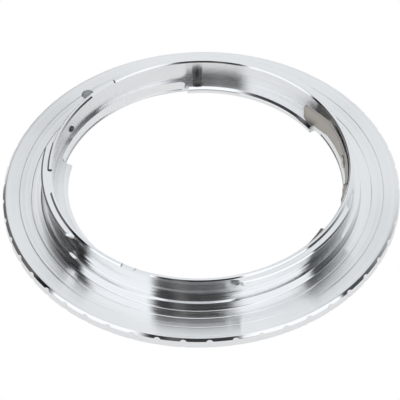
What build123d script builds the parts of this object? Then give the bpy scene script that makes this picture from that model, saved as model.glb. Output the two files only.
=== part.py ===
import os
from math import cos, radians, sin

from build123d import *

# Radii, each a step out from the throat. Angles are degrees from +X, counter-clockwise seen from the camera.
throat_r = 22.42
inner_lug_reach = 1.65
ledge_w = 0.83
wall_t = 0.85
lug_reach = 1.1
base_step = 0.05
register_w = 6.6
bore_step = 0.12
counterbore_w = 1.73

slot_r = throat_r + inner_lug_reach
inner_r = slot_r + ledge_w
collar_r = inner_r + wall_t
lug_r = collar_r + lug_reach
base_r = lug_r + base_step
flange_r = base_r + register_w
lens_bore_r = slot_r - bore_step
counterbore_r = slot_r + counterbore_w
cut_margin = 1.5
wall_cut = 3 * wall_t

# Heights, from the lens-side face up.
flange_t = 2.0
base_h = 1.95
ledge_h = 1.86
collar_h = 5.7
lip_h = 0.3
counterbore_h = flange_t
inner_lug_t = 1.04
lug_t = 1.55

base_top = flange_t + base_h
ledge_z = flange_t + ledge_h
lug_top = flange_t + collar_h
lug_bottom = lug_top - lug_t
collar_top = lug_top + lip_h
inner_lug_bottom = ledge_z - inner_lug_t

# Edge breaks, and the shallow relief turned above the centring ring.
rim_chamfer = 0.45
rim_break = 0.2
base_chamfer_w = 0.34
base_chamfer_h = 0.2
lip_slope = 0.22
lip_chamfer = 0.16
lug_chamfer = 0.25
inner_lug_chamfer = 0.3
slot_chamfer = 0.3
relief_w = 0.12
relief_h = 0.7
relief_r = collar_r - relief_w

# Bayonet lugs of the camera side, and the slots that leave the lugs of the lens side standing.
lug_spans = [(163, 215.5), (280, 342), (40, 100)]
lug_root_r = collar_r - wall_t / 2
runout_r = 3.1
runout_sink = 0.06
runout_at = collar_r + runout_r - runout_sink
slot_spans = [(95, 165.5), (217, 275), (333, 393.7)]
slot_corner_r = 1.2
lip_gaps = [(124.5, 136.5), (179, 191), (238, 250)]

# Grip flutes round the rim, and the hole for the camera's lock pin.
flute_count = 48
flute_phase = 1.5
flute_r = 0.95
flute_depth = 0.23
lock_hole_r = 1.1
lock_hole_angle = 129
lock_hole_at = (base_r + flange_r) / 2

# Pins pressed through the collar wall: the stop for the lens and a smaller index pin.
stop_pin_r = 0.8
stop_pin_reach = 1.8
stop_pin_angle = 90.5
pin_over_ledge = 0.05
stop_pin_z = ledge_z + stop_pin_r + pin_over_ledge
index_pin_r = 0.55
index_pin_reach = 0.35
index_pin_angle = 151
index_pin_z = flange_t + 3.5
pin_chamfer = 0.15
pin_set_back = 0.1
pin_outer_r = relief_r - pin_set_back

# Leaf spring: a foot on the wall, a blade that leans off it, and a finger tab bent inwards.
spring_t = 0.4
spring_h = 3.5
spring_lift = 0.1
spring_z = ledge_z + spring_lift
foot_span = (-17.5, -14)
foot_gap = 0.02
blade_mid_angle = 6
blade_mid_gap = 0.2
bend_angle = 26
bend_gap = 0.42
tip_angle = 39.7
tip_gap = 1.45
bend_r = 1.5
tip_corner_r = 0.7
raised_span = (-9.4, 7)
raised_h = 0.33
trim_span = 45
short_edge = 1.2 * spring_t

# Rivets that keep the spring on the wall.
rivet_angles = [-9, 6.9]
rivet_stem_r = 0.5
rivet_head_r = 1.1
rivet_head_t = 0.32
rivet_clear = 0.15
head_clear = 0.04
head_chamfer = 0.1
rivet_z = spring_z + spring_h / 2


def polar(radius, angle):
    return (radius * cos(radians(angle)), radius * sin(radians(angle)))


def upright_plane(angle):
    """The plane through the axis at that angle, with its x outwards and its y up."""
    x, y = polar(1, angle)
    return Plane(origin=(0, 0, 0), x_dir=(x, y, 0), z_dir=(y, -x, 0))


def inward_plane(angle, radius, height):
    """The plane across a radial hole, facing the axis."""
    x, y = polar(1, angle)
    return Plane(origin=(radius * x, radius * y, height), x_dir=(-y, x, 0), z_dir=(-x, -y, 0))


with BuildPart() as adapter_ring:
    # The turned section, once round.
    with BuildSketch(Plane.XZ):
        with BuildLine():
            Polyline(
                (counterbore_r, 0),
                (flange_r - rim_break, 0),
                (flange_r, rim_break),
                (flange_r, flange_t - rim_chamfer),
                (flange_r - rim_chamfer, flange_t),
                (base_r, flange_t),
                (base_r, base_top - base_chamfer_h),
                (base_r - base_chamfer_w, base_top),
                (relief_r, base_top),
                (relief_r, base_top + relief_h),
                (collar_r, base_top + relief_h),
                (collar_r, lug_top),
                (collar_r - lip_slope, collar_top),
                (inner_r + lip_chamfer, collar_top),
                (inner_r, collar_top - lip_chamfer),
                (inner_r, ledge_z),
                (throat_r + inner_lug_chamfer, ledge_z),
                (throat_r, ledge_z - inner_lug_chamfer),
                (throat_r, inner_lug_bottom),
                (lens_bore_r, inner_lug_bottom),
                (lens_bore_r, counterbore_h),
                (counterbore_r, counterbore_h),
                close=True,
            )
        make_face()
    revolve(axis=Axis.Z)

    # Three camera lugs, drawn from above. The round cutter leaves a hollow run-out at both ends of each.
    for start, end in lug_spans:
        with BuildSketch(Plane.XY.offset(lug_bottom)):
            with BuildLine():
                CenterArc((0, 0), lug_r, start, end - start)
                CenterArc((0, 0), lug_root_r, start, end - start)
                Line(polar(lug_root_r, start), polar(lug_r, start))
                Line(polar(lug_root_r, end), polar(lug_r, end))
            make_face()
            with Locations(polar(runout_at, start), polar(runout_at, end)):
                Circle(runout_r, mode=Mode.SUBTRACT)
        extrude(amount=lug_t)
    lug_rims = []
    for edge in adapter_ring.edges().filter_by(GeomType.CIRCLE):
        if abs(edge.radius - lug_r) < base_step / 2:
            lug_rims.append(edge)
    chamfer(lug_rims, lug_chamfer)

    # Slots milled between the inner lugs, with the cutter's radius left in the corners.
    for start, end in slot_spans:
        with BuildSketch(Plane.XY.offset(counterbore_h)) as slot:
            with BuildLine():
                CenterArc((0, 0), slot_r, start, end - start)
                CenterArc((0, 0), throat_r - cut_margin, start, end - start)
                Line(polar(throat_r - cut_margin, start), polar(slot_r, start))
                Line(polar(throat_r - cut_margin, end), polar(slot_r, end))
            make_face()
            fillet(slot.vertices().sort_by(SortBy.DISTANCE)[-2:], slot_corner_r)
        extrude(amount=ledge_z - counterbore_h, mode=Mode.SUBTRACT)
    ledge_rims = adapter_ring.edges().filter_by_position(Axis.Z, ledge_z, ledge_z)
    slot_rims = []
    for edge in ledge_rims.filter_by(GeomType.CIRCLE):
        if abs(edge.radius - slot_r) < bore_step / 2:
            slot_rims.append(edge)
    chamfer(slot_rims, slot_chamfer)

    # Gaps in the raised lip, down to the level of the lugs.
    for start, end in lip_gaps:
        with BuildSketch(Plane.XY.offset(lug_top)):
            with BuildLine():
                CenterArc((0, 0), collar_r + cut_margin, start, end - start)
                CenterArc((0, 0), inner_r - cut_margin, start, end - start)
                Line(polar(inner_r - cut_margin, start), polar(collar_r + cut_margin, start))
                Line(polar(inner_r - cut_margin, end), polar(collar_r + cut_margin, end))
            make_face()
        extrude(amount=lip_h, mode=Mode.SUBTRACT)

    with BuildSketch(Plane.XY):
        with PolarLocations(flange_r + flute_r - flute_depth, flute_count, start_angle=flute_phase):
            Circle(flute_r)
        with Locations(polar(lock_hole_at, lock_hole_angle)):
            Circle(lock_hole_r)
    extrude(amount=flange_t, mode=Mode.SUBTRACT)

    # Holes through the collar wall for the pins and the rivets.
    with BuildSketch(inward_plane(stop_pin_angle, collar_r + wall_t, stop_pin_z)):
        Circle(stop_pin_r)
    extrude(amount=wall_cut, mode=Mode.SUBTRACT)
    with BuildSketch(inward_plane(index_pin_angle, collar_r + wall_t, index_pin_z)):
        Circle(index_pin_r)
    extrude(amount=wall_cut, mode=Mode.SUBTRACT)
    for angle in rivet_angles:
        with BuildSketch(inward_plane(angle, collar_r + wall_t, rivet_z)):
            Circle(rivet_stem_r)
        extrude(amount=wall_cut, mode=Mode.SUBTRACT)

with BuildPart() as stop_pin:
    with BuildSketch(inward_plane(stop_pin_angle, pin_outer_r, stop_pin_z)):
        Circle(stop_pin_r)
    extrude(amount=pin_outer_r - inner_r + stop_pin_reach)
    chamfer(stop_pin.edges().sort_by(SortBy.DISTANCE)[:1], pin_chamfer)

with BuildPart() as index_pin:
    with BuildSketch(inward_plane(index_pin_angle, pin_outer_r, index_pin_z)):
        Circle(index_pin_r)
    extrude(amount=pin_outer_r - inner_r + index_pin_reach)
    chamfer(index_pin.edges().sort_by(SortBy.DISTANCE)[:1], pin_chamfer)

foot_start, foot_end = foot_span
raised_start, raised_end = raised_span
foot_r = inner_r - foot_gap
mid_r = inner_r - blade_mid_gap
bend_at_r = inner_r - bend_gap
tip_r = inner_r - tip_gap
with BuildPart() as lock_spring:
    # The strip seen from above, drawn along its outer face and back along its inner face.
    with BuildSketch(Plane.XY.offset(spring_z)) as strip:
        with BuildLine():
            CenterArc((0, 0), foot_r, foot_start, foot_end - foot_start)
            ThreePointArc(
                polar(foot_r, foot_end),
                polar(mid_r, blade_mid_angle),
                polar(bend_at_r, bend_angle),
            )
            Polyline(
                polar(bend_at_r, bend_angle),
                polar(tip_r, tip_angle),
                polar(tip_r - spring_t, tip_angle),
                polar(bend_at_r - spring_t, bend_angle),
            )
            ThreePointArc(
                polar(bend_at_r - spring_t, bend_angle),
                polar(mid_r - spring_t, blade_mid_angle),
                polar(foot_r - spring_t, foot_end),
            )
            CenterArc((0, 0), foot_r - spring_t, foot_start, foot_end - foot_start)
            Line(polar(foot_r, foot_start), polar(foot_r - spring_t, foot_start))
        make_face()
        fillet(strip.vertices().sort_by_distance(Vertex(*polar(bend_at_r, bend_angle)))[:2], bend_r)
    extrude(amount=spring_h + raised_h)

    # Outside the raised stretch the strip is lower.
    for start, end in [(raised_end, raised_end + trim_span), (raised_start - trim_span, raised_start)]:
        with BuildSketch(Plane.XY.offset(spring_z + spring_h)):
            with BuildLine():
                CenterArc((0, 0), collar_r + cut_margin, start, end - start)
                Line((0, 0), polar(collar_r + cut_margin, start))
                Line((0, 0), polar(collar_r + cut_margin, end))
            make_face()
        extrude(amount=raised_h, mode=Mode.SUBTRACT)

    tip_point = Vertex(*polar(tip_r, tip_angle), rivet_z)
    short_edges = lock_spring.edges().filter_by(lambda edge: edge.length < short_edge)
    fillet(short_edges.sort_by_distance(tip_point)[:2], tip_corner_r)

    for angle in rivet_angles:
        with BuildSketch(inward_plane(angle, collar_r, rivet_z)):
            Circle(rivet_stem_r + rivet_clear)
        extrude(amount=wall_cut, mode=Mode.SUBTRACT)

with BuildPart() as spring_rivets:
    for angle in rivet_angles:
        lean = (angle - foot_end) / (blade_mid_angle - foot_end)
        head_seat_r = inner_r - foot_gap - lean * (blade_mid_gap - foot_gap) - spring_t - head_clear
        with BuildSketch(inward_plane(angle, collar_r, rivet_z)):
            Circle(rivet_stem_r)
        extrude(amount=collar_r - head_seat_r)
        with BuildSketch(inward_plane(angle, head_seat_r, rivet_z)):
            Circle(rivet_head_r)
        extrude(amount=rivet_head_t)
    circles = spring_rivets.edges().filter_by(GeomType.CIRCLE)
    head_rims = circles.group_by(SortBy.RADIUS)[-1].sort_by(SortBy.DISTANCE)
    chamfer(head_rims[:len(rivet_angles)], head_chamfer)

os.makedirs("parts", exist_ok=True)
adapter_ring.part.label = "adapter_ring"
lock_spring.part.label = "lock_spring"
spring_rivets.part.label = "spring_rivets"
stop_pin.part.label = "stop_pin"
index_pin.part.label = "index_pin"
export_step(adapter_ring.part, "parts/adapter_ring.step")
export_step(lock_spring.part, "parts/lock_spring.step")
export_step(spring_rivets.part, "parts/spring_rivets.step")
export_step(stop_pin.part, "parts/stop_pin.step")
export_step(index_pin.part, "parts/index_pin.step")
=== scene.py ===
# %% [markdown]
# # A chromed ring that joins a lens to a camera
#
# The real part is a flat brass ring, turned on a lathe, milled, and plated with bright chrome. A
# camera grips its collar with a bayonet, and a lens locks into its inner lugs. This script loads the
# solids of the part as a fixed frame, and then dresses them: a finely turned ring in place of the
# coarse one, polished edges, grained spring steel, and the white tent with dark gaps that bright
# metal needs to look like metal.

# %% Load the frame
import math

import bmesh
import bpy
from mathutils import Matrix, Vector


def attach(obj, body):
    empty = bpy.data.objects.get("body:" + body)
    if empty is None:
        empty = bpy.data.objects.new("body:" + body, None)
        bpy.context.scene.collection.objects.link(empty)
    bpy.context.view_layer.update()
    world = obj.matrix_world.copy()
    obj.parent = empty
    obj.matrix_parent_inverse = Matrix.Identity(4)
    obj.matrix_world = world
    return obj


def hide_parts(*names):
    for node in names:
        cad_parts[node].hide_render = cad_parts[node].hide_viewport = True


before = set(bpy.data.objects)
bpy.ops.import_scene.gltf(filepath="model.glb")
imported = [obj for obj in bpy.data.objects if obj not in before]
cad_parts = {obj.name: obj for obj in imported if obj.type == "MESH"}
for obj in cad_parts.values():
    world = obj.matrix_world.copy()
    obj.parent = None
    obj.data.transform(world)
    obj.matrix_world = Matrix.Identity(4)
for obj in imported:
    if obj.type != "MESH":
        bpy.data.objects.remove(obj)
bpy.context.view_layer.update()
MM = 0.001
scene = bpy.context.scene
scene.view_settings.view_transform = "Standard"
print("CAD nodes:", sorted(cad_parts))


# %% [markdown]
# ## Sizes
#
# The sizes are in millimetres. Radii step out from the throat, and heights go up from the face that
# the lens sits on. Angles are degrees from +X, counter-clockwise seen from above. They are the sizes
# of the solids, apart from the centring ring, whose top lies a little lower here, and some edges
# further down: polished metal shows in its reflections where they are.

# %% Radii of the ring
INNER_LUG_REACH = 1.65
LEDGE_W = 0.83
WALL_T = 0.85
LUG_REACH = 1.1
BASE_STEP = 0.05
REGISTER_W = 6.6
BORE_STEP = 0.12
COUNTERBORE_W = 1.73
RELIEF_W = 0.12

THROAT_R = 22.42
SLOT_R = THROAT_R + INNER_LUG_REACH
INNER_R = SLOT_R + LEDGE_W
COLLAR_R = INNER_R + WALL_T
LUG_R = COLLAR_R + LUG_REACH
BASE_R = LUG_R + BASE_STEP
FLANGE_R = BASE_R + REGISTER_W
LENS_BORE_R = SLOT_R - BORE_STEP
COUNTERBORE_R = SLOT_R + COUNTERBORE_W
RELIEF_R = COLLAR_R - RELIEF_W
print("ring across:", 2 * FLANGE_R, "mm")

# %% Heights of the ring
FLANGE_T = 2.0
COUNTERBORE_H = FLANGE_T
BASE_H = 1.65
LEDGE_H = 1.86
COLLAR_H = 5.7
LUG_T = 1.55
LIP_H = 0.3
INNER_LUG_T = 1.04

BASE_TOP = FLANGE_T + BASE_H
LEDGE_Z = FLANGE_T + LEDGE_H
LUG_TOP = FLANGE_T + COLLAR_H
LUG_BOTTOM = LUG_TOP - LUG_T
COLLAR_TOP = LUG_TOP + LIP_H
INNER_LUG_BOTTOM = LEDGE_Z - INNER_LUG_T
print("ring high:", COLLAR_TOP, "mm")


# %% [markdown]
# ## Helpers for modelling by hand
#
# An operator acts on everything that is selected, so each helper starts from an empty selection. A
# turned piece begins as one circle. Its edge loop is extruded from point to point along the section,
# as a tool follows the work on a lathe, and the last loop is merged with the first.

# %% Turning
SEGMENTS = 720
MERGE_WITHIN = 0.0005


def polar(radius, angle, z=0.0):
    a = math.radians(angle)
    return Vector((radius * math.cos(a), radius * math.sin(a), z))


def start_clean():
    if bpy.context.object and bpy.context.object.mode != "OBJECT":
        bpy.ops.object.mode_set(mode="OBJECT")
    bpy.ops.object.select_all(action="DESELECT")


def only(obj):
    start_clean()
    obj.select_set(True)
    bpy.context.view_layer.objects.active = obj


def turn(name, section):
    """A closed ring turned from a section of (radius, height) points in mm."""
    start_clean()
    radius, height = section[0]
    bpy.ops.mesh.primitive_circle_add(
        vertices=SEGMENTS, radius=radius * MM, location=(0, 0, height * MM)
    )
    obj = bpy.context.object
    obj.name = name
    bpy.ops.object.transform_apply(location=True)
    bpy.ops.object.mode_set(mode="EDIT")
    bpy.ops.mesh.select_all(action="SELECT")
    for next_radius, next_height in section[1:] + section[:1]:
        rise = (0, 0, (next_height - height) * MM)
        bpy.ops.mesh.extrude_edges_move(TRANSFORM_OT_translate={"value": rise})
        grow = next_radius / radius
        bpy.ops.transform.resize(value=(grow, grow, 1), center_override=(0, 0, 0))
        radius, height = next_radius, next_height
    bpy.ops.mesh.select_all(action="SELECT")
    bpy.ops.mesh.remove_doubles(threshold=MERGE_WITHIN * MM)
    bpy.ops.mesh.normals_make_consistent(inside=False)
    bpy.ops.object.mode_set(mode="OBJECT")
    return obj


# %% Cutting
CUT_WITHIN = 1e-7


def keep_side(obj, point, normal):
    """Cuts a closed piece by a plane, keeps what lies along the normal, and closes the cut."""
    only(obj)
    bpy.ops.object.mode_set(mode="EDIT")
    bpy.ops.mesh.select_all(action="SELECT")
    bpy.ops.mesh.bisect(
        plane_co=point, plane_no=normal, use_fill=True, clear_inner=True, threshold=CUT_WITHIN
    )
    bpy.ops.object.mode_set(mode="OBJECT")


def sector(name, section, start, end):
    """The part of a turned ring between two angles."""
    obj = turn(name, section)
    keep_side(obj, (0, 0, 0), polar(1, start + 90))
    keep_side(obj, (0, 0, 0), polar(1, end - 90))
    return obj


def cut(obj, cutters):
    """Takes the cutters, which don't touch each other, out of a piece."""
    start_clean()
    for cutter in cutters:
        cutter.select_set(True)
    tool = cutters[0]
    bpy.context.view_layer.objects.active = tool
    bpy.ops.object.join()
    only(obj)
    boolean = obj.modifiers.new("cut", "BOOLEAN")
    boolean.operation = "DIFFERENCE"
    boolean.solver = "EXACT"
    boolean.object = tool
    bpy.ops.object.modifier_apply(modifier=boolean.name)
    bpy.data.objects.remove(tool)


# %% [markdown]
# ## The turned ring
#
# Flange, centring ring, collar, lugs and ledge come from one section, as on the lathe. Every corner
# gets a tiny flat, because a real edge is never sharp: on polished metal that flat is the thin bright
# or dark line that draws the edge. Corners that turn only a little stay as they are. A small hollow
# fills the foot of the centring ring, and two fine lines are scribed into the flange face.

# %% Flats, lines and the hollow foot
EDGE_BREAK = 0.06
SHARE_OF_SIDE = 0.3
SOFT_TURN = 11
SCRIBED_LINES = [(30.7, 0.06, 0.07), (28.67, 0.11, 0.06)]
FOOT_FILLET = 0.19
FOOT_STEPS = 10


def broken(section, size, sharp):
    """The section with a small flat in place of each corner, except those that stay sharp."""
    result = []
    count = len(section)
    for i, corner in enumerate(section):
        here = Vector(corner)
        sides = [Vector(section[i - 1]) - here, Vector(section[(i + 1) % count]) - here]
        if corner in sharp or sides[0].angle(-sides[1]) < math.radians(SOFT_TURN):
            result.append(corner)
            continue
        for side in sides:
            step = min(size, SHARE_OF_SIDE * side.length)
            result.append(tuple(here + side.normalized() * step))
    return result


scribed = []
for line_r, half_w, depth in SCRIBED_LINES:
    scribed.append((line_r + half_w, FLANGE_T))
    scribed.append((line_r, FLANGE_T - depth))
    scribed.append((line_r - half_w, FLANGE_T))

foot = []
for i in range(FOOT_STEPS + 1):
    a = math.radians(270 - 90 * i / FOOT_STEPS)
    foot_r = BASE_R + FOOT_FILLET * (1 + math.cos(a))
    foot.append((foot_r, FLANGE_T + FOOT_FILLET * (1 + math.sin(a))))
print("scribed lines:", len(SCRIBED_LINES), "steps in the foot:", FOOT_STEPS)

# %% Section of the ring
RIM_CHAMFER = 0.45
RIM_BREAK = 0.2
BASE_CHAMFER_W = 0.5
BASE_CHAMFER_H = 0.115
BASE_TAPER = 0.08
LUG_CHAMFER = 0.25
LIP_SLOPE = 0.22
LIP_CHAMFER = 0.26
INNER_LUG_CHAMFER_W = 0.62
INNER_LUG_CHAMFER_H = 0.21
RELIEF_H = 1.0

relief_end = (COLLAR_R, BASE_TOP + RELIEF_H)
ring_section = [
    (COUNTERBORE_R, 0),
    (FLANGE_R - RIM_BREAK, 0),
    (FLANGE_R, RIM_BREAK),
    (FLANGE_R, FLANGE_T - RIM_CHAMFER),
    (FLANGE_R - RIM_CHAMFER, FLANGE_T),
    *scribed,
    *foot,
    (BASE_R - BASE_TAPER, BASE_TOP - BASE_CHAMFER_H),
    (BASE_R - BASE_TAPER - BASE_CHAMFER_W, BASE_TOP),
    (RELIEF_R, BASE_TOP),
    (RELIEF_R, BASE_TOP + RELIEF_H),
    relief_end,
    (COLLAR_R, LUG_BOTTOM),
    (LUG_R - LUG_CHAMFER, LUG_BOTTOM),
    (LUG_R, LUG_BOTTOM + LUG_CHAMFER),
    (LUG_R, LUG_TOP - LUG_CHAMFER),
    (LUG_R - LUG_CHAMFER, LUG_TOP),
    (COLLAR_R, LUG_TOP),
    (COLLAR_R - LIP_SLOPE, COLLAR_TOP),
    (INNER_R + LIP_CHAMFER, COLLAR_TOP),
    (INNER_R, COLLAR_TOP - LIP_CHAMFER),
    (INNER_R, LEDGE_Z),
    (THROAT_R + INNER_LUG_CHAMFER_W, LEDGE_Z),
    (THROAT_R, LEDGE_Z - INNER_LUG_CHAMFER_H),
    (THROAT_R, INNER_LUG_BOTTOM),
    (LENS_BORE_R, INNER_LUG_BOTTOM),
    (LENS_BORE_R, COUNTERBORE_H),
    (COUNTERBORE_R, COUNTERBORE_H),
]
ring = turn("chromed_ring", broken(ring_section, EDGE_BREAK, [relief_end]))
print("turned ring:", len(ring.data.polygons), "faces")


# %% [markdown]
# ## Milling the lugs
#
# The collar still carries one lug all the way round. Three gaps are milled out of it. The round
# cutter leaves a hollow run-out at each end of a lug, and the underside of that end slopes as a
# lead-in, so that the lug slides under its partner. Each gap is drawn flat as the cutter's path from
# above and extruded. Below the lead-in's height its ends are swung apart for the slope. It stays a
# hair off the wall that it follows, so that no two faces lie in one plane.

# %% Flat outlines made solid
HAIR = 0.004
PAST = 0.5
ARC_STEP = 1.0


def arc(centre, radius, start, end, step):
    count = max(2, round(abs(end - start) / step))
    angles = [start + (end - start) * i / count for i in range(count + 1)]
    return [centre + polar(radius, angle) for angle in angles]


def plate(name, outline, low, high):
    """A flat outline, in mm, extruded from one height to another and left in edit mode."""
    mesh = bpy.data.meshes.new(name)
    points = [(p.x * MM, p.y * MM, low * MM) for p in outline]
    mesh.from_pydata(points, [], [range(len(outline))])
    obj = bpy.data.objects.new(name, mesh)
    scene.collection.objects.link(obj)
    only(obj)
    bpy.ops.object.mode_set(mode="EDIT")
    bpy.ops.mesh.select_all(action="SELECT")
    rise = (0, 0, (high - low) * MM)
    bpy.ops.mesh.extrude_region_move(TRANSFORM_OT_translate={"value": rise})
    return obj


def close_plate():
    bpy.ops.mesh.select_all(action="SELECT")
    bpy.ops.mesh.normals_make_consistent(inside=False)
    bpy.ops.object.mode_set(mode="OBJECT")


# %% Gaps between the camera lugs
LUG_GAPS = [(215.5, 280), (342, 400), (100, 163)]
RUNOUT_R = 3.1
RUNOUT_STEP = 3
LEAD_IN = 0.75


def gap_outline(start, end):
    """The cutter's path: down one run-out, along the wall, up the other, and back outside."""
    wall_r = COLLAR_R + HAIR
    climb = math.degrees(math.acos(1 - (LUG_R + PAST - COLLAR_R) / RUNOUT_R))
    near = polar(wall_r + RUNOUT_R, start)
    far = polar(wall_r + RUNOUT_R, end)
    first = arc(near, RUNOUT_R, start - 180 + climb, start - 180, RUNOUT_STEP)
    last = arc(far, RUNOUT_R, end + 180, end + 180 - climb, RUNOUT_STEP)
    way = first + arc(Vector(), wall_r, start, end, ARC_STEP)[1:-1] + last
    swing = math.degrees(first[0].angle(polar(1, start)))
    return way + arc(Vector(), first[0].length, end + swing, start - swing, ARC_STEP)[1:-1]


def gap_cutter(start, end):
    slope_from = LUG_BOTTOM + LEAD_IN
    cutter = plate("gap", gap_outline(start, end), slope_from, LUG_TOP + PAST)
    drop = LEAD_IN + PAST
    bpy.ops.mesh.select_all(action="DESELECT")
    bm = bmesh.from_edit_mesh(cutter.data)
    for face in bm.faces:
        if face.calc_center_median().z < (slope_from + HAIR) * MM:
            face.select_set(True)
    bmesh.update_edit_mesh(cutter.data)
    bpy.ops.mesh.extrude_region_move(TRANSFORM_OT_translate={"value": (0, 0, -drop * MM)})
    middle = (start + end) / 2
    half = (end - start) / 2
    bm = bmesh.from_edit_mesh(cutter.data)
    for vert in bm.verts:
        if vert.select:
            angle = math.degrees(math.atan2(vert.co.y, vert.co.x))
            off = (angle - middle + 180) % 360 - 180
            if abs(off) > half - HAIR:
                turned = Matrix.Rotation(math.copysign(drop / COLLAR_R, off), 3, "Z")
                vert.co = turned @ vert.co
    bmesh.update_edit_mesh(cutter.data)
    close_plate()
    return cutter


cut(ring, [gap_cutter(start, end) for start, end in LUG_GAPS])
print("lugs milled:", len(ring.data.polygons), "faces")


# %% [markdown]
# ## Slots for the lens
#
# Between the inner lugs three slots are milled, so that the lens can drop in and turn. The end mill
# leaves its own radius in the corners and a chamfer runs round the top. The outline of a slot is drawn
# flat, extruded, and its top face is widened for the chamfer.

# %% Slots between the inner lugs
SLOTS = [(95, 165.5), (217, 275), (333, 393.7)]
SLOT_CORNER_R = 1.2
SLOT_CORNER_STEP = 10
SLOT_CHAMFER = 0.42


def slot_outline(start, end):
    """Counter-clockwise outline of a slot, in mm, with rounded outer corners."""
    corner_at = SLOT_R - SLOT_CORNER_R
    lean = math.degrees(math.asin(SLOT_CORNER_R / corner_at))
    near = polar(corner_at, start + lean)
    far = polar(corner_at, end - lean)
    inner = THROAT_R - PAST
    points = [polar(inner, start)]
    points += arc(near, SLOT_CORNER_R, start - 90, start + lean, SLOT_CORNER_STEP)
    points += arc(Vector(), SLOT_R, start + lean, end - lean, ARC_STEP)[1:-1]
    points += arc(far, SLOT_CORNER_R, end - lean, end + 90, SLOT_CORNER_STEP)
    points.append(polar(inner, end))
    return points + arc(Vector(), inner, end, start, ARC_STEP)[1:-1]


def slot_cutter(start, end):
    flare = SLOT_CHAMFER + PAST
    top = LEDGE_Z - SLOT_CHAMFER + flare / 2
    cutter = plate("slot", slot_outline(start, end), INNER_LUG_BOTTOM - PAST, top)
    bpy.ops.mesh.inset(thickness=flare * MM, depth=flare / 2 * MM, use_outset=True)
    close_plate()
    return cutter


cut(ring, [slot_cutter(start, end) for start, end in SLOTS])
print("slots milled:", len(ring.data.polygons), "faces")


# %% [markdown]
# ## Small cuts
#
# The raised lip is interrupted in three places, the flange has a hole for the camera's lock pin, and
# round holes take the pins and rivets. The rim has a row of shallow flutes for the fingers, cut
# straight down. One round cutter, added at its size and place, does for every hole and flute.

# %% Lip gaps and holes
LIP_GAPS = [(124.5, 136.5), (179, 191), (238, 250)]
LOCK_HOLE_R = 1.1
LOCK_HOLE_ANGLE = 129
LOCK_HOLE_AT = (BASE_R + FLANGE_R) / 2
LOCK_HOLE_SIDES = 64
STOP_PIN = (90.5, LEDGE_Z + 0.85, 0.8)
INDEX_PIN = (151, FLANGE_T + 3.5, 0.55)
RIVET_Z = LEDGE_Z + 1.85
RIVETS = [(-9, RIVET_Z, 0.5), (6.9, RIVET_Z, 0.5)]
PIN_HOLE_DEPTH = 2
PIN_HOLE_SIDES = 48


def drill(radius, depth, place, sides, lie=(0, 0, 0)):
    """A round cutter, with its sizes in mm."""
    start_clean()
    bpy.ops.mesh.primitive_cylinder_add(
        vertices=sides, radius=radius * MM, depth=depth * MM, location=place * MM, rotation=lie
    )
    return bpy.context.object


lip_section = [
    (INNER_R - PAST, LUG_TOP + HAIR),
    (COLLAR_R + PAST, LUG_TOP + HAIR),
    (COLLAR_R + PAST, COLLAR_TOP + PAST),
    (INNER_R - PAST, COLLAR_TOP + PAST),
]
cutters = [sector("lip_gap", lip_section, start, end) for start, end in LIP_GAPS]
lock_hole_place = polar(LOCK_HOLE_AT, LOCK_HOLE_ANGLE, FLANGE_T / 2)
cutters.append(drill(LOCK_HOLE_R, 2 * FLANGE_T, lock_hole_place, LOCK_HOLE_SIDES))
for angle, height, radius in [STOP_PIN, INDEX_PIN, *RIVETS]:
    place = polar((INNER_R + COLLAR_R) / 2, angle, height)
    lie = (0, math.pi / 2, math.radians(angle))
    cutters.append(drill(radius + HAIR, PIN_HOLE_DEPTH, place, PIN_HOLE_SIDES, lie))
cut(ring, cutters)
print("lip and holes cut:", len(ring.data.polygons), "faces")

# %% Flutes in the rim
FLUTES = 48
FLUTE_PHASE = 1.5
FLUTE_R = 0.95
FLUTE_DEPTH = 0.23
FLUTE_SIDES = 96

flutes = []
for i in range(FLUTES):
    angle = FLUTE_PHASE + i * 360 / FLUTES
    place = polar(FLANGE_R + FLUTE_R - FLUTE_DEPTH, angle, FLANGE_T / 2)
    flutes.append(drill(FLUTE_R, 2 * FLANGE_T, place, FLUTE_SIDES))
cut(ring, flutes)
print("flutes cut:", len(ring.data.polygons), "faces")


# %% [markdown]
# ## Smooth walls and flat faces
#
# The ring has to look round on its walls and dead flat on its faces. Smooth shading by angle does the
# walls. The Weighted Normal modifier then lets the large faces rule their corners. It compares areas,
# and those of a part this small are too tiny for it, so the ring is enlarged while it works.

# %% Shading of the ring
SMOOTH_ANGLE = 35
SAME_AREA = 0.02
FACE_WEIGHT = 100


def resize(obj, factor):
    obj.scale = (factor, factor, factor)
    bpy.ops.object.transform_apply(scale=True)


only(ring)
bpy.ops.object.shade_smooth_by_angle(angle=math.radians(SMOOTH_ANGLE))
resize(ring, 1 / MM)
weigh = ring.modifiers.new("flat faces", "WEIGHTED_NORMAL")
weigh.keep_sharp = True
weigh.weight = FACE_WEIGHT
weigh.thresh = SAME_AREA
bpy.ops.object.modifier_apply(modifier=weigh.name)
resize(ring, MM)
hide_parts("adapter_ring")
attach(ring, "ring")
print("ring finished:", len(ring.data.polygons), "faces")


# %% [markdown]
# ## Pins, rivets and spring
#
# These small pieces have the right shape in the solids already. A copy of each is merged into one
# skin, its edges get a small bevel, and it is shaded smooth, so that it catches the light as turned or
# stamped metal does.

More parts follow.
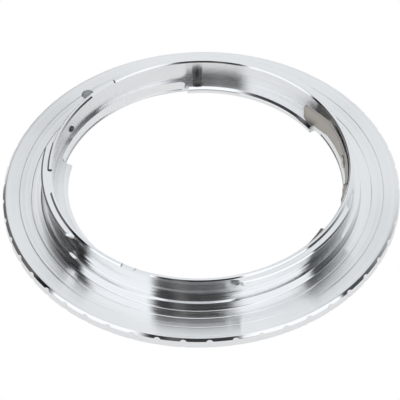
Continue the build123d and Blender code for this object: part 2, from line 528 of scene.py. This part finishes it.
# %% Small steel pieces from the solids
SKIN_WITHIN = 0.001
FLAT_WITHIN = 1
BEVEL_STEPS = 2
BEVEL_FROM = 40
SMALL_PIECES = {
    "stop_pin": ("turned_stop_pin", "ring", "pin_steel", 0.05),
    "index_pin": ("turned_index_pin", "ring", "pin_steel", 0.04),
    "spring_rivets": ("rivet_pair", "ring", "pin_steel", 0.04),
    "lock_spring": ("leaf_spring", "spring", "spring_steel", 0.04),
}
small = {}
for node, (name, body, slot, bevel_mm) in SMALL_PIECES.items():
    piece = bpy.data.objects.new(name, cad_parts[node].data.copy())
    scene.collection.objects.link(piece)
    piece.data.materials.clear()
    only(piece)
    bpy.ops.object.mode_set(mode="EDIT")
    bpy.ops.mesh.select_all(action="SELECT")
    bpy.ops.mesh.remove_doubles(threshold=SKIN_WITHIN * MM)
    bpy.ops.mesh.dissolve_limited(angle_limit=math.radians(FLAT_WITHIN))
    bpy.ops.object.mode_set(mode="OBJECT")
    bevel = piece.modifiers.new("edge", "BEVEL")
    bevel.width = bevel_mm * MM
    bevel.segments = BEVEL_STEPS
    bevel.limit_method = "ANGLE"
    bevel.angle_limit = math.radians(BEVEL_FROM)
    bpy.ops.object.modifier_apply(modifier=bevel.name)
    bpy.ops.object.shade_smooth_by_angle(angle=math.radians(SMOOTH_ANGLE))
    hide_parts(node)
    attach(piece, body)
    small[node] = piece
    print(name, len(piece.data.polygons), "faces")


# %% [markdown]
# ## Lathe marks
#
# A turned surface keeps faint lines that run round the axis, on flat faces and on walls alike. A noise
# that knows only the distance from the axis and the height, and not the angle, gives exactly such
# lines. It is a node group, because the chrome and the pins share it. It also puts out a cloudy sheen
# and the distance from the axis, which tells one face of the ring from another.

# %% Helpers for nodes


def math_node(tree, operation, *values, clamp=False):
    node = tree.nodes.new("ShaderNodeMath")
    node.operation = operation
    node.use_clamp = clamp
    for i, value in enumerate(values):
        if isinstance(value, (int, float)):
            node.inputs[i].default_value = value
        else:
            tree.links.new(value, node.inputs[i])
    return node.outputs[0]


def soft_step(tree, value, low, high, out_low=0.0, out_high=1.0):
    node = tree.nodes.new("ShaderNodeMapRange")
    node.interpolation_type = "SMOOTHSTEP"
    tree.links.new(value, node.inputs["Value"])
    node.inputs["From Min"].default_value = low
    node.inputs["From Max"].default_value = high
    node.inputs["To Min"].default_value = out_low
    node.inputs["To Max"].default_value = out_high
    return node.outputs["Result"]


def noise(tree, vector, scale, detail):
    node = tree.nodes.new("ShaderNodeTexNoise")
    node.inputs["Scale"].default_value = scale
    node.inputs["Detail"].default_value = detail
    tree.links.new(vector, node.inputs["Vector"])
    return node.outputs["Fac"]


def parted(tree, vector):
    """The X, Y and Z of a vector."""
    node = tree.nodes.new("ShaderNodeSeparateXYZ")
    tree.links.new(vector, node.inputs[0])
    return node.outputs["X"], node.outputs["Y"], node.outputs["Z"]


def coordinates(tree, kind):
    return tree.nodes.new("ShaderNodeTexCoord").outputs[kind]


# %% Node group for lathe marks
FINE_SHARE = 0.03
LINE_SCALE = 1.0
LINE_DETAIL = 3.0
BAND_SCALE = 0.4
BAND_DETAIL = 2.0
SHEEN_SCALE = 90.0
SHEEN_DETAIL = 4.0

lathe = bpy.data.node_groups.new("lathe_marks", "ShaderNodeTree")
lines_socket = lathe.interface.new_socket(
    name="Lines per mm", in_out="INPUT", socket_type="NodeSocketFloat"
)
lines_socket.default_value = 8.0
for title in ("Height", "Bands", "Sheen", "Distance"):
    lathe.interface.new_socket(name=title, in_out="OUTPUT", socket_type="NodeSocketFloat")
lathe_in = lathe.nodes.new("NodeGroupInput")
lathe_out = lathe.nodes.new("NodeGroupOutput")

spot = coordinates(lathe, "Object")
x, y, z = parted(lathe, spot)
x_squared = math_node(lathe, "MULTIPLY", x, x)
y_squared = math_node(lathe, "MULTIPLY", y, y)
distance = math_node(lathe, "SQRT", math_node(lathe, "ADD", x_squared, y_squared))
density = math_node(lathe, "MULTIPLY", lathe_in.outputs["Lines per mm"], 1 / MM)
travel = lathe.nodes.new("ShaderNodeCombineXYZ")
lathe.links.new(math_node(lathe, "MULTIPLY", distance, density), travel.inputs["X"])
lathe.links.new(math_node(lathe, "MULTIPLY", z, density), travel.inputs["Y"])
lines = noise(lathe, travel.outputs[0], LINE_SCALE, LINE_DETAIL)
bands = noise(lathe, travel.outputs[0], BAND_SCALE, BAND_DETAIL)
sheen = noise(lathe, spot, SHEEN_SCALE, SHEEN_DETAIL)
fine = math_node(lathe, "MULTIPLY", lines, FINE_SHARE)
lathe.links.new(math_node(lathe, "ADD", bands, fine), lathe_out.inputs["Height"])
lathe.links.new(bands, lathe_out.inputs["Bands"])
lathe.links.new(sheen, lathe_out.inputs["Sheen"])
lathe.links.new(math_node(lathe, "DIVIDE", distance, MM), lathe_out.inputs["Distance"])
print("node group:", lathe.name)

# %% Helpers for materials


def new_material(name):
    material = bpy.data.materials.new(name)
    material.use_nodes = True
    return material, material.node_tree, material.node_tree.nodes["Principled BSDF"]


def lathe_marks(tree, lines_per_mm):
    node = tree.nodes.new("ShaderNodeGroup")
    node.node_tree = lathe
    node.inputs["Lines per mm"].default_value = lines_per_mm
    return node.outputs


def add_bump(tree, shader, height, depth_mm, strength):
    bump = tree.nodes.new("ShaderNodeBump")
    bump.inputs["Strength"].default_value = strength
    bump.inputs["Distance"].default_value = depth_mm * MM
    tree.links.new(height, bump.inputs["Height"])
    tree.links.new(bump.outputs["Normal"], shader.inputs["Normal"])


# %% [markdown]
# ## Bright chrome
#
# Chrome is nearly a mirror: metallic, light grey with a breath of blue, and very smooth. What tells it
# from a perfect mirror is a slight haze that comes and goes, and the lathe marks under the plating. The
# marks run round the axis, so a highlight is drawn out across them, which the tangent and the
# anisotropy give. The faced flats and the inner wall were cut more coarsely than the outer walls, so
# they get more haze, zone by zone from the throat out.

# %% Base of the chrome
CHROME_TONE = (0.895, 0.905, 0.91, 1)
CHROME_LINES = 7.0
ACROSS_THE_MARKS = 0.25
MARK_DEPTH = 0.0004

chrome, tree, shader = new_material("bright_chrome")
shader.inputs["Base Color"].default_value = CHROME_TONE
shader.inputs["Metallic"].default_value = 1.0
shader.inputs["Anisotropic"].default_value = 1.0
shader.inputs["Anisotropic Rotation"].default_value = ACROSS_THE_MARKS
around = tree.nodes.new("ShaderNodeTangent")
around.direction_type = "RADIAL"
around.axis = "Z"
tree.links.new(around.outputs["Tangent"], shader.inputs["Tangent"])
marks = lathe_marks(tree, CHROME_LINES)
add_bump(tree, shader, marks["Height"], MARK_DEPTH, 1.0)
ring.data.materials.clear()
ring.data.materials.append(chrome)
print("chrome on", ring.name)

# %% Haze of the chrome
SHEEN_FROM, SHEEN_TO = 0.3, 0.7
LEAST_PATCH = 0.6
HAZE_FROM, HAZE_TO = 0.2, 0.7
LEAST_HAZE, MOST_HAZE = 0.06, 0.13
FACED_FROM, FACED_TO = 0.975, 0.997
OUTER_FACE_FROM = SCRIBED_LINES[1][0]
OUTER_FACE_HAZE = 0.1
MIDDLE_FACE_HAZE = 0.055
INNER_FACE_HAZE = 0.15
INNER_WALL_HAZE = 0.11
ZONE_SOFT = 0.1
WALL_SOFT = 0.05

patches = soft_step(tree, marks["Sheen"], SHEEN_FROM, SHEEN_TO, LEAST_PATCH, 1)
banded = math_node(tree, "MULTIPLY", marks["Bands"], patches)
wall_haze = soft_step(tree, banded, HAZE_FROM, HAZE_TO, LEAST_HAZE, MOST_HAZE)


def zone(at, soft, inside, outside):
    """A value that changes at a distance from the axis."""
    return soft_step(tree, marks["Distance"], at - soft, at + soft, inside, outside)


faced = soft_step(tree, parted(tree, coordinates(tree, "Normal"))[2], FACED_FROM, FACED_TO)
outer = zone(OUTER_FACE_FROM, ZONE_SOFT, 0, OUTER_FACE_HAZE - MIDDLE_FACE_HAZE)
inner = zone(INNER_R, ZONE_SOFT, INNER_FACE_HAZE, MIDDLE_FACE_HAZE)
face_haze = math_node(tree, "MULTIPLY", faced, math_node(tree, "ADD", outer, inner))
wall_from = zone(INNER_R - 3 * WALL_SOFT, WALL_SOFT, 0, 1)
wall_to = zone(INNER_R + 2 * WALL_SOFT, WALL_SOFT, INNER_WALL_HAZE, 0)
inner_wall_haze = math_node(tree, "MULTIPLY", wall_from, wall_to)
haze = math_node(tree, "ADD", math_node(tree, "ADD", wall_haze, inner_wall_haze), face_haze)
tree.links.new(haze, shader.inputs["Roughness"])
print("haze from", LEAST_HAZE, "to", MOST_HAZE + INNER_FACE_HAZE)


# %% [markdown]
# ## Turned steel and spring steel
#
# The pins are dark turned steel and the rivets pale, both softer than the chrome, so one function
# makes both. The spring is rolled strip: satin, warm grey, with a grain along its length, which here is
# the direction round the axis, so its noise is fine across the height and long round the ring.

# %% Turned steel
STEEL_LINES = 10.0


def turned_steel(name, steel_tone, smooth, rough):
    material, tree, shader = new_material(name)
    shader.inputs["Base Color"].default_value = steel_tone
    shader.inputs["Metallic"].default_value = 1.0
    sheen = lathe_marks(tree, STEEL_LINES)["Sheen"]
    roughness = soft_step(tree, sheen, SHEEN_FROM, SHEEN_TO, smooth, rough)
    tree.links.new(roughness, shader.inputs["Roughness"])
    return material


pin_steel = turned_steel("turned_steel", (0.13, 0.13, 0.13, 1), 0.45, 0.55)
rivet_steel = turned_steel("pale_rivet_steel", (0.72, 0.7, 0.66, 1), 0.28, 0.4)
print("steels:", pin_steel.name, rivet_steel.name)

# %% Spring steel
GRAIN_SIZE = (120, 120, 9000)
GRAIN_DETAIL = 3.0
GRAIN_TONES = [(0.3, (0.44, 0.41, 0.37, 1)), (0.7, (0.52, 0.49, 0.45, 1))]
GRAIN_DEPTH = 0.004
GRAIN_STRENGTH = 0.4

strip_steel, tree, shader = new_material("satin_spring_steel")
shader.inputs["Metallic"].default_value = 1.0
grain_map = tree.nodes.new("ShaderNodeMapping")
grain_map.inputs["Scale"].default_value = GRAIN_SIZE
tree.links.new(coordinates(tree, "Object"), grain_map.inputs["Vector"])
grain = noise(tree, grain_map.outputs[0], 1.0, GRAIN_DETAIL)
tone = tree.nodes.new("ShaderNodeValToRGB")
for stop, (position, stop_tone) in zip(tone.color_ramp.elements, GRAIN_TONES):
    stop.position = position
    stop.color = stop_tone
tree.links.new(grain, tone.inputs["Fac"])
tree.links.new(tone.outputs["Color"], shader.inputs["Base Color"])
tree.links.new(soft_step(tree, grain, 0.2, 0.8, 0.36, 0.5), shader.inputs["Roughness"])
add_bump(tree, shader, grain, GRAIN_DEPTH, GRAIN_STRENGTH)

steels = {"lock_spring": strip_steel, "spring_rivets": rivet_steel}
for node, piece in small.items():
    piece.data.materials.append(steels.get(node, pin_steel))
    print(piece.name, "is", piece.data.materials[0].name)


# %% [markdown]
# ## White tent with dark gaps
#
# A mirror shows only what stands round it. The tent is white, its back cloth is a little greyer, the
# camera looks in through a dark opening in front, and there is a dark gap at each side. The world gives
# each panel by its direction: how far round it lies and how high. A panel's sides may lean, and each
# has its own softness. The camera itself sees plain white behind the part.

# %% Directions in the world
DEGREE = math.pi / 180
LEVEL = 47.0
END_SOFT = 3

world = bpy.data.worlds.new("white_tent")
scene.world = world
world.use_nodes = True
tree = world.node_tree
tree.nodes.clear()
x, y, z = parted(tree, coordinates(tree, "Generated"))
height_angle = math_node(tree, "DIVIDE", math_node(tree, "ARCSINE", z), DEGREE)
round_angle = math_node(tree, "DIVIDE", math_node(tree, "ARCTAN2", y, x), DEGREE)
raised = math_node(tree, "SUBTRACT", height_angle, LEVEL)


def panel(start, end, start_soft, end_soft, lean, low, high):
    """1 inside a panel that reaches from one angle round to another and from low to high.

    Its sides lean by some degrees per degree of height."""
    middle = (start + end) / 2
    leaning = math_node(tree, "SUBTRACT", round_angle, math_node(tree, "MULTIPLY", raised, lean))
    turned = math_node(tree, "SUBTRACT", leaning, middle)
    across = math_node(tree, "WRAP", turned, 180.0, -180.0)
    half_w = (end - start) / 2
    after = soft_step(tree, across, -half_w - start_soft, -half_w + start_soft)
    before = soft_step(tree, across, half_w - end_soft, half_w + end_soft, 1, 0)
    above = soft_step(tree, height_angle, low - END_SOFT, low + END_SOFT)
    below = soft_step(tree, height_angle, high - END_SOFT, high + END_SOFT, 1, 0)
    sides = math_node(tree, "MULTIPLY", after, before)
    return math_node(tree, "MULTIPLY", sides, math_node(tree, "MULTIPLY", above, below))


print("the camera opening is level at", LEVEL, "degrees")

# %% Panels of the tent
WHITE_CLOTH = (1.07, 1.09, 1.12, 1)
PANELS = {
    "back cloth": (25, 125, 15, 15, 0, -20, 70, (0.84, 0.864, 0.886, 1)),
    "right gap": (352, 395, 2, 32, 0.3, -20, 74, (0.075, 0.08, 0.085, 1)),
    "left gap": (122, 174.5, 10, 3, -0.5, -20, 59, (0.012, 0.012, 0.014, 1)),
    "top of the left gap": (131, 170, 5, 4, 0, 58, 76, (0.02, 0.02, 0.024, 1)),
    "low part of the left gap": (100, 175, 6, 3, 0, -20, 42, (0.15, 0.143, 0.143, 1)),
    "grey strip beside the opening": (288.5, 298, 2, 3, -0.3, 45, 72, (0.47, 0.49, 0.5, 1)),
    "camera opening": (231.5, 288.5, 4, 2, -0.3, -20, 72, (0.045, 0.045, 0.047, 1)),
    "shelf in the opening": (231.5, 288.5, 4, 2, -0.3, 50, 60, (0.07, 0.069, 0.067, 1)),
    "glint in the opening": (249, 258, 3, 3, 0, 0, 70, (0.12, 0.118, 0.115, 1)),
    "low cloth beside the opening": (224, 238, 3, 3, 0, -20, 39, WHITE_CLOTH),
}
tent = None
for *edges, cloth in PANELS.values():
    mix = tree.nodes.new("ShaderNodeMix")
    mix.data_type = "RGBA"
    tree.links.new(panel(*edges), mix.inputs[0])
    mix.inputs[6].default_value = WHITE_CLOTH
    if tent:
        tree.links.new(tent, mix.inputs[6])
    mix.inputs[7].default_value = cloth
    tent = mix.outputs[2]
print("tent panels:", ", ".join(PANELS))

# %% Light of the tent
tent_light = tree.nodes.new("ShaderNodeBackground")
tree.links.new(tent, tent_light.inputs["Color"])
plain_white = tree.nodes.new("ShaderNodeBackground")
plain_white.inputs["Color"].default_value = (1, 1, 1, 1)
ray = tree.nodes.new("ShaderNodeLightPath")
pick = tree.nodes.new("ShaderNodeMixShader")
tree.links.new(ray.outputs["Is Camera Ray"], pick.inputs[0])
tree.links.new(tent_light.outputs[0], pick.inputs[1])
tree.links.new(plain_white.outputs[0], pick.inputs[2])
world_out = tree.nodes.new("ShaderNodeOutputWorld")
tree.links.new(pick.outputs[0], world_out.inputs["Surface"])
print("world:", world.name)


# %% [markdown]
# ## Floor
#
# The part lies on white paper that ends a little to its left. The camera sees the paper as plain white,
# except under the ring, where the paper lies in the ring's shadow and shows through the small hole. The
# metal sees the paper as the tent lights it, raised a little towards the white that the camera sees.
# Close to the throat on the left the paper carries a painted shade, darker in colour and in its glow,
# for the shade that the ring throws inwards there.

# %% Paper
FLOOR_SIZE = 4.0
PAPER_LEFT = -0.046

start_clean()
bpy.ops.mesh.primitive_plane_add(size=FLOOR_SIZE, location=(PAPER_LEFT + FLOOR_SIZE / 2, 0, 0))
bpy.ops.object.transform_apply(location=True)
floor = bpy.context.object
floor.name = "paper_floor"
print("paper:", FLOOR_SIZE, "m across")

# %% Zones of the paper
PAPER_TONE = 0.9
PAINTED_PAPER_SHADE = 0.55
SHADE_LEFT, SHADE_RIGHT = -0.016, -0.010
SHADE_FROM, SHADE_TO = 0.0226, 0.0234

paper, tree, shader = new_material("white_paper")
shader.inputs["Roughness"].default_value = 0.9
spot = coordinates(tree, "Object")
across = tree.nodes.new("ShaderNodeVectorMath")
across.operation = "LENGTH"
tree.links.new(spot, across.inputs[0])
distance = across.outputs["Value"]
outside = math_node(tree, "GREATER_THAN", distance, (FLANGE_R - RIM_CHAMFER) * MM)
inside = math_node(tree, "LESS_THAN", distance, COUNTERBORE_R * MM)
open_paper = math_node(tree, "ADD", outside, inside, clamp=True)
# Painted shade: near the throat on the left the paper's colour is darkened, for the shadow that the
# ring throws inwards there.
to_left = soft_step(tree, parted(tree, spot)[0], SHADE_LEFT, SHADE_RIGHT, 1, 0)
near_ring = soft_step(tree, distance, SHADE_FROM, SHADE_TO)
shade = math_node(tree, "MULTIPLY", inside, math_node(tree, "MULTIPLY", to_left, near_ring))
darker = math_node(tree, "MULTIPLY", shade, PAINTED_PAPER_SHADE)
paper_tone = math_node(tree, "SUBTRACT", PAPER_TONE, darker)
tree.links.new(paper_tone, shader.inputs["Base Color"])
floor.data.materials.append(paper)
print("paper tone:", PAPER_TONE)

# %% Glow of the paper
GLOW_IN_METAL = 0.6

ray = tree.nodes.new("ShaderNodeLightPath")
# The painted shade also dims the paper's glow in the metal there.
glowing = math_node(tree, "MULTIPLY", math_node(tree, "SUBTRACT", 1, shade), GLOW_IN_METAL)
in_metal = math_node(tree, "MULTIPLY", ray.outputs["Is Glossy Ray"], glowing)
seen = math_node(tree, "ADD", ray.outputs["Is Camera Ray"], in_metal, clamp=True)
glow = tree.nodes.new("ShaderNodeEmission")
pick = tree.nodes.new("ShaderNodeMixShader")
tree.links.new(math_node(tree, "MULTIPLY", seen, open_paper), pick.inputs[0])
tree.links.new(shader.outputs[0], pick.inputs[1])
tree.links.new(glow.outputs[0], pick.inputs[2])
tree.links.new(pick.outputs[0], tree.nodes["Material Output"].inputs["Surface"])
print("paper glow in metal:", GLOW_IN_METAL)


# %% [markdown]
# ## Camera
#
# The view was worked out from the rim, which is a circle in truth and an ellipse in the picture: the
# camera stands far off and looks down at 47 degrees, so a long lens gives the nearly parallel lines.

# %% Camera
VIEW_HEIGHT = 46.93
VIEW_ROLL = 1.257
VIEW_DISTANCE = 1.0308
FOCAL_PIXELS = 6108
IMAGE_W = 400
TARGET_PIXEL = (201.115, 192.1)
SENSOR = 36.0
CLIP_NEAR, CLIP_FAR = 0.05, 20

camera_data = bpy.data.cameras.new("camera")
camera = bpy.data.objects.new("camera", camera_data)
scene.collection.objects.link(camera)
scene.camera = camera
camera_data.sensor_width = SENSOR
camera_data.lens = FOCAL_PIXELS / IMAGE_W * SENSOR
camera_data.clip_start = CLIP_NEAR
camera_data.clip_end = CLIP_FAR
tilt = math.radians(VIEW_HEIGHT)
target = Vector((0, 0, FLANGE_T * MM))
camera.location = target + VIEW_DISTANCE * Vector((0, -math.cos(tilt), math.sin(tilt)))
aim = (target - camera.location).to_track_quat("-Z", "Y").to_matrix()
roll = Matrix.Rotation(math.radians(-VIEW_ROLL), 3, "Z")
camera.rotation_euler = (aim @ roll).to_euler()
camera_data.shift_x = -(TARGET_PIXEL[0] - IMAGE_W / 2) / IMAGE_W
camera_data.shift_y = (TARGET_PIXEL[1] - IMAGE_W / 2) / IMAGE_W
print("lens", round(camera_data.lens, 1), "mm")
